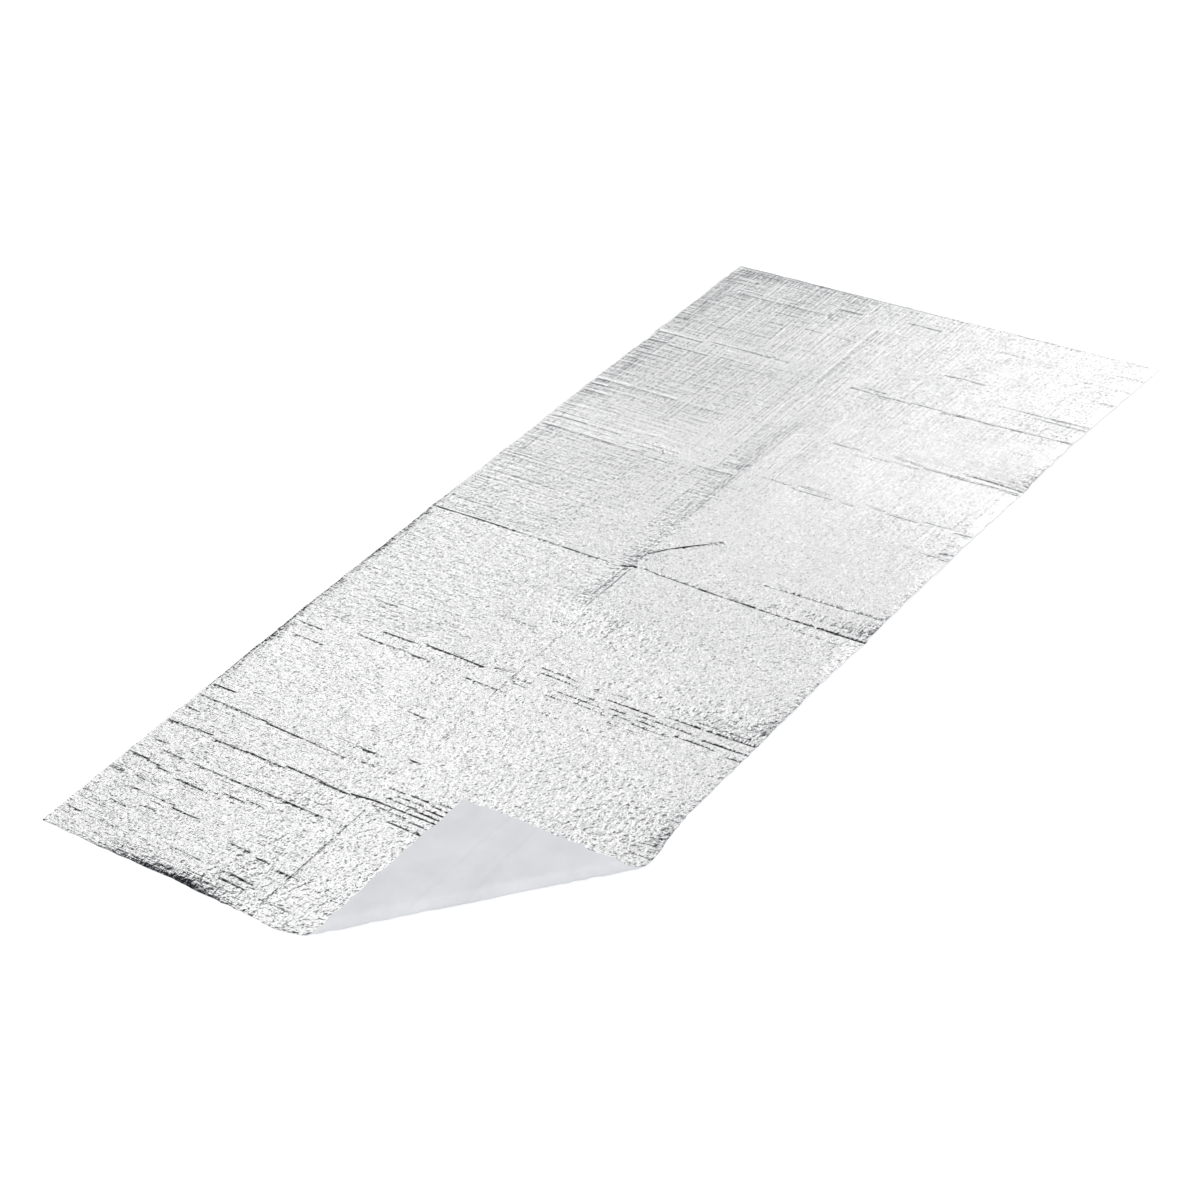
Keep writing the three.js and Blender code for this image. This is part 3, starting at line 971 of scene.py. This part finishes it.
def new_material(name):
    """A material with its Principled shader and an empty tree otherwise."""
    material = bpy.data.materials.new(name)
    material.use_nodes = True
    tree = material.node_tree
    shader = next(node for node in tree.nodes if node.type == "BSDF_PRINCIPLED")
    return material, tree, shader


def add_node(tree, kind, inputs=None, **settings):
    """Adds a node, sets its fields, and sets or links its inputs."""
    node = tree.nodes.new(kind)
    for field, value in settings.items():
        setattr(node, field, value)
    for socket, value in (inputs or {}).items():
        if isinstance(value, bpy.types.NodeSocket):
            tree.links.new(value, node.inputs[socket])
        else:
            node.inputs[socket].default_value = value
    return node


def flat_place(tree, scale=EVEN):
    """Coordinates on the flat sheet in metres, times scale."""
    place_on_sheet = add_node(tree, "ShaderNodeUVMap", uv_map=FLAT_MAP)
    return add_node(
        tree, "ShaderNodeMapping", {"Vector": place_on_sheet.outputs["UV"], "Scale": scale}
    ).outputs["Vector"]


def arithmetic(tree, operation, *values):
    """The result of a math node."""
    return add_node(
        tree, "ShaderNodeMath", dict(enumerate(values)), operation=operation
    ).outputs["Value"]


def ramp(tree, value, start_end, low_high):
    """A value held level outside start and end and running straight from low to high between them."""
    return add_node(
        tree, "ShaderNodeMapRange",
        {
            "Value": value, "From Min": start_end[0], "From Max": start_end[1],
            "To Min": low_high[0], "To Max": low_high[1],
        },
    ).outputs["Result"]


def facet_leans(tree, size, tilt, share):
    """Small facets on the flat sheet, each leaning its own way: a vector about zero."""
    cells = add_node(
        tree, "ShaderNodeTexVoronoi", {"Vector": flat_place(tree), "Scale": 1 / size},
        voronoi_dimensions="2D",
    ).outputs["Color"]
    centred = add_node(
        tree, "ShaderNodeVectorMath", {0: cells, 1: (0.5, 0.5, 0.5)}, operation="SUBTRACT"
    ).outputs["Vector"]
    spread_out = add_node(
        tree, "ShaderNodeVectorMath", {0: centred, 1: (tilt, tilt, 0.0)}, operation="MULTIPLY"
    ).outputs["Vector"]
    return add_node(
        tree, "ShaderNodeVectorMath", {0: spread_out, "Scale": share}, operation="SCALE"
    ).outputs["Vector"]


def crinkles(tree, stretch, size, depth):
    """Height of soft crinkles on the flat sheet."""
    waves = add_node(
        tree, "ShaderNodeTexNoise",
        {
            "Vector": flat_place(tree, stretch), "Scale": 1 / size,
            "Detail": GRAIN_DETAIL, "Roughness": GRAIN_ROUGHNESS,
        },
        noise_dimensions="2D",
    ).outputs["Fac"]
    return arithmetic(tree, "MULTIPLY", waves, depth)


def foil_material(finish):
    """Bright foil, crinkled all over, with dashes across its near left and a hatch at its far left."""
    material, tree, shader = new_material("crinkled foil")
    sides = add_node(tree, "ShaderNodeSeparateXYZ", {"Vector": flat_place(tree)}).outputs
    across, along = sides["X"], sides["Y"]

    def share(first, first_range, second, second_range):
        second_share = ramp(tree, second, *second_range)
        return arithmetic(tree, "MULTIPLY", ramp(tree, first, *first_range), second_share)

    crinkled = share(along, CRINKLES_EASE, along, CRINKLES_FADE)
    dashed = share(across, DASHES_TO_RIGHT, along, DASHES_TO_FAR)
    hatched = share(along, HATCH_TO_FAR, across, HATCH_TO_RIGHT)
    lines = LINE_SPACING * finish.crinkle_size
    height = 0.0
    for stretch, spacing, depth, part in (
        (EVEN, finish.crinkle_size, finish.crinkle_depth, crinkled),
        (DASH_STRETCH, lines, finish.dash_depth, dashed),
        (HATCH_ACROSS, lines, finish.streak_depth, hatched),
        (HATCH_ALONG, lines, finish.streak_depth, hatched),
    ):
        grain = crinkles(tree, stretch, spacing, arithmetic(tree, "MULTIPLY", part, depth))
        height = arithmetic(tree, "ADD", height, grain)
    facets = facet_leans(tree, finish.facet_size, finish.facet_tilt, ramp(tree, along, *FACETS_TO_FAR))
    leaning = add_node(
        tree, "ShaderNodeVectorMath", {0: facets, 1: (0.5, 0.5, 1.0)}, operation="ADD"
    ).outputs["Vector"]
    normal = add_node(tree, "ShaderNodeNormalMap", {"Color": leaning}, uv_map=FLAT_MAP).outputs["Normal"]
    bump = add_node(tree, "ShaderNodeBump", {"Height": height, "Distance": 1.0, "Normal": normal})
    patches = add_node(
        tree, "ShaderNodeTexNoise",
        {"Vector": flat_place(tree), "Scale": PATCH_SCALE, "Detail": PATCH_DETAIL},
    ).outputs["Fac"]
    least, most = finish.roughness - PATCH_ROUGHNESS, finish.roughness + PATCH_ROUGHNESS
    tree.links.new(ramp(tree, patches, (0.0, 1.0), (least, most)), shader.inputs["Roughness"])
    tree.links.new(bump.outputs["Normal"], shader.inputs["Normal"])
    shader.inputs["Base Color"].default_value = finish.colour
    shader.inputs["Metallic"].default_value = 1.0
    return material


def foam_material(finish):
    """Matte white foam with a soft mottling, and darker lines across the turned corner: painted shade of
    faint creases.
    """
    material, tree, shader = new_material("white foam")
    mottling = add_node(
        tree, "ShaderNodeTexNoise",
        {
            "Vector": flat_place(tree), "Scale": MOTTLING_SCALE,
            "Detail": MOTTLING_DETAIL, "Roughness": MOTTLING_ROUGHNESS,
        },
    ).outputs["Fac"]
    tone = ramp(tree, mottling, MOTTLING_RANGE, MOTTLING_TONES)
    along = add_node(tree, "ShaderNodeSeparateXYZ", {"Vector": flat_place(tree)}).outputs["Y"]
    wander = arithmetic(tree, "MULTIPLY_ADD", mottling, SHADE_LINE_WANDERS, along)
    # Each line darkens the foam colour: painted shade standing in for a faint crease, which the flat foam
    # doesn't have.
    for shade_line in FOAM_CREASE_SHADE:
        from_shade_line = arithmetic(tree, "SUBTRACT", wander, shade_line * MM + SHADE_LINE_WANDERS / 2)
        beside = arithmetic(tree, "ABSOLUTE", from_shade_line)
        tone = arithmetic(tree, "MULTIPLY", tone, ramp(tree, beside, (0.0, SHADE_LINE_WIDTH), (SHADE_LINE_TONE, 1.0)))
    tint = add_node(
        tree, "ShaderNodeVectorMath", {0: finish.colour[:3], "Scale": tone}, operation="SCALE"
    ).outputs["Vector"]
    tree.links.new(tint, shader.inputs["Base Color"])
    cells = add_node(
        tree, "ShaderNodeTexNoise", {"Vector": flat_place(tree), "Scale": CELL_SCALE, "Detail": CELL_DETAIL}
    ).outputs["Fac"]
    bump = add_node(tree, "ShaderNodeBump", {"Height": cells, "Distance": CELL_DEPTH, "Strength": 1.0})
    tree.links.new(bump.outputs["Normal"], shader.inputs["Normal"])
    shader.inputs["Roughness"].default_value = finish.roughness
    return material


class GROUNDSHEET_OT_lay_sheet(Operator):
    """Lay the foil-faced sheet on the floor in place of its solid"""

    bl_idname = "groundsheet.lay_sheet"
    bl_label = "Lay sheet"

    def execute(self, context):
        sizes = context.scene.ground_sheet_sizes
        sheet = lay_sheet(sizes)
        sheet.data.materials.append(foil_material(context.scene.ground_sheet_foil))
        sheet.data.materials.append(foam_material(context.scene.ground_sheet_foam))
        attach(sheet, "root")
        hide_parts(SHEET_NODE)
        return {"FINISHED"}


def make_floor(colour):
    """A wide pale floor just under the sheet."""
    bm = bmesh.new()
    bmesh.ops.create_grid(bm, x_segments=1, y_segments=1, size=FLOOR_REACH)
    bmesh.ops.translate(bm, verts=bm.verts[:], vec=(0.0, 0.0, FLOOR_LEVEL))
    mesh = bpy.data.meshes.new("floor")
    bm.to_mesh(mesh)
    bm.free()
    material, _, shader = new_material("pale floor")
    shader.inputs["Base Color"].default_value = colour
    shader.inputs["Roughness"].default_value = FLOOR_ROUGHNESS
    mesh.materials.append(material)
    floor = bpy.data.objects.new("floor", mesh)
    bpy.context.scene.collection.objects.link(floor)


def toward(tree, direction, box):
    """Light of a soft box: most straight at its middle, and none from the angle of its spread on."""
    bearing, rise, spread = (math.radians(angle) for angle in (box.bearing, box.rise, box.spread))
    level = math.cos(rise)
    centre = (level * math.cos(bearing), level * math.sin(bearing), math.sin(rise))
    facing = add_node(
        tree, "ShaderNodeVectorMath", {0: direction, 1: centre}, operation="DOT_PRODUCT"
    ).outputs["Value"]
    return ramp(tree, facing, (math.cos(spread), 1.0), (0.0, box.light))


def make_sky():
    """A studio with soft boxes beyond the sheet, a soft light all round and dark overhead."""
    world = bpy.data.worlds.new("studio")
    world.use_nodes = True
    tree = world.node_tree
    background = next(node for node in tree.nodes if node.type == "BACKGROUND")
    direction = add_node(tree, "ShaderNodeTexCoord").outputs["Generated"]
    up = add_node(tree, "ShaderNodeSeparateXYZ", {"Vector": direction}).outputs["Z"]
    main = 0.0
    for box in SOFT_BOXES:
        main = arithmetic(tree, "ADD", main, toward(tree, direction, box))
    band = BAND_LIGHT[0]
    for number in range(1, len(BAND_UP)):
        step = BAND_LIGHT[number] - BAND_LIGHT[number - 1]
        band = arithmetic(tree, "ADD", band, ramp(tree, up, BAND_UP[number - 1:number + 1], (0.0, step)))
    main = arithmetic(tree, "MULTIPLY", main, band)
    bearing = math.radians(WINDOW_BEARING)
    facing = add_node(
        tree, "ShaderNodeVectorMath", {0: direction, 1: (math.cos(bearing), math.sin(bearing), 0.0)},
        operation="DOT_PRODUCT",
    ).outputs["Value"]
    fill = ramp(tree, facing, FILL_AWAY, (FILL_LIGHT, 0.0))
    fill = arithmetic(tree, "MULTIPLY", fill, ramp(tree, up, FILL_RISES, (FILL_LOW_SHARE, 1.0)))
    fill = arithmetic(tree, "MULTIPLY", fill, ramp(tree, up, FILL_FALLS, (1.0, 0.0)))
    light = arithmetic(tree, "MAXIMUM", arithmetic(tree, "ADD", main, fill), DARK_LIGHT)
    tint = add_node(
        tree, "ShaderNodeMix",
        {"Factor": arithmetic(tree, "MULTIPLY", light, TINT_CLEARS), "A": DARK_TINT, "B": BRIGHT_TINT},
        data_type="RGBA",
    ).outputs["Result"]
    tree.links.new(light, background.inputs["Strength"])
    tree.links.new(tint, background.inputs["Color"])
    bpy.context.scene.world = world


def make_lamp(name, power, size, place_at):
    """A broad soft lamp that shines at the sheet and that the foil doesn't mirror."""
    light = bpy.data.lights.new(name, "AREA")
    light.shape = "DISK"
    light.size = size
    light.energy = power
    light.use_shadow = False
    lamp = bpy.data.objects.new(name, light)
    lamp.location = place_at
    lamp.rotation_euler = (-Vector(place_at)).to_track_quat("-Z", "Y").to_euler()
    lamp.visible_glossy = False
    lamp.visible_camera = False
    bpy.context.scene.collection.objects.link(lamp)


def make_camera(setup):
    """The camera at the photograph's angle."""
    level = math.cos(setup.elevation)
    back = Vector((
        math.sin(setup.azimuth) * level,
        -math.cos(setup.azimuth) * level,
        math.sin(setup.elevation),
    ))
    lens = bpy.data.cameras.new("camera")
    lens.sensor_fit = "HORIZONTAL"
    lens.angle = setup.view_angle
    camera = bpy.data.objects.new("camera", lens)
    turn = (-back).to_track_quat("-Z", "Y").to_matrix() @ Matrix.Rotation(setup.roll, 3, "Z")
    camera.matrix_world = Matrix.Translation(Vector(setup.aim) + back * setup.distance) @ turn.to_4x4()
    bpy.context.scene.collection.objects.link(camera)
    bpy.context.scene.camera = camera


class GROUNDSHEET_OT_set_stage(Operator):
    """Set up the floor, the soft light and the camera"""

    bl_idname = "groundsheet.set_stage"
    bl_label = "Set stage"

    def execute(self, context):
        setup = context.scene.ground_sheet_stage
        make_floor(setup.floor_colour)
        make_sky()
        make_lamp("top light", setup.top_light, TOP_LAMP_SIZE, TOP_LAMP_PLACE)
        make_lamp("front light", setup.front_light, FRONT_LAMP_SIZE, FRONT_LAMP_PLACE)
        make_camera(setup)
        context.scene.view_settings.view_transform = "Standard"
        return {"FINISHED"}


class VIEW3D_PT_ground_sheet(Panel):
    """Sizes, finishes and stage of the ground sheet"""

    bl_label = "Ground sheet"
    bl_space_type = "VIEW_3D"
    bl_region_type = "UI"
    bl_category = "Ground sheet"

    def draw(self, context):
        for field in SETTINGS:
            settings = getattr(context.scene, field)
            box = self.layout.box()
            for name in settings.__annotations__:
                box.prop(settings, name)
        self.layout.operator(GROUNDSHEET_OT_lay_sheet.bl_idname)
        self.layout.operator(GROUNDSHEET_OT_set_stage.bl_idname)


SETTINGS = {
    "ground_sheet_sizes": GroundSheetSizes,
    "ground_sheet_foil": FoilFinish,
    "ground_sheet_foam": FoamFinish,
    "ground_sheet_stage": StageSetup,
}
CLASSES = (*SETTINGS.values(), GROUNDSHEET_OT_lay_sheet, GROUNDSHEET_OT_set_stage, VIEW3D_PT_ground_sheet)


def register():
    for cls in CLASSES:
        bpy.utils.register_class(cls)
    for field, group in SETTINGS.items():
        setattr(bpy.types.Scene, field, PointerProperty(type=group))


def unregister():
    for field in SETTINGS:
        delattr(bpy.types.Scene, field)
    for cls in reversed(CLASSES):
        bpy.utils.unregister_class(cls)


def main():
    register()
    bpy.ops.groundsheet.lay_sheet()
    bpy.ops.groundsheet.set_stage()
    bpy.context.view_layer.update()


if __name__ == "__main__":
    main()
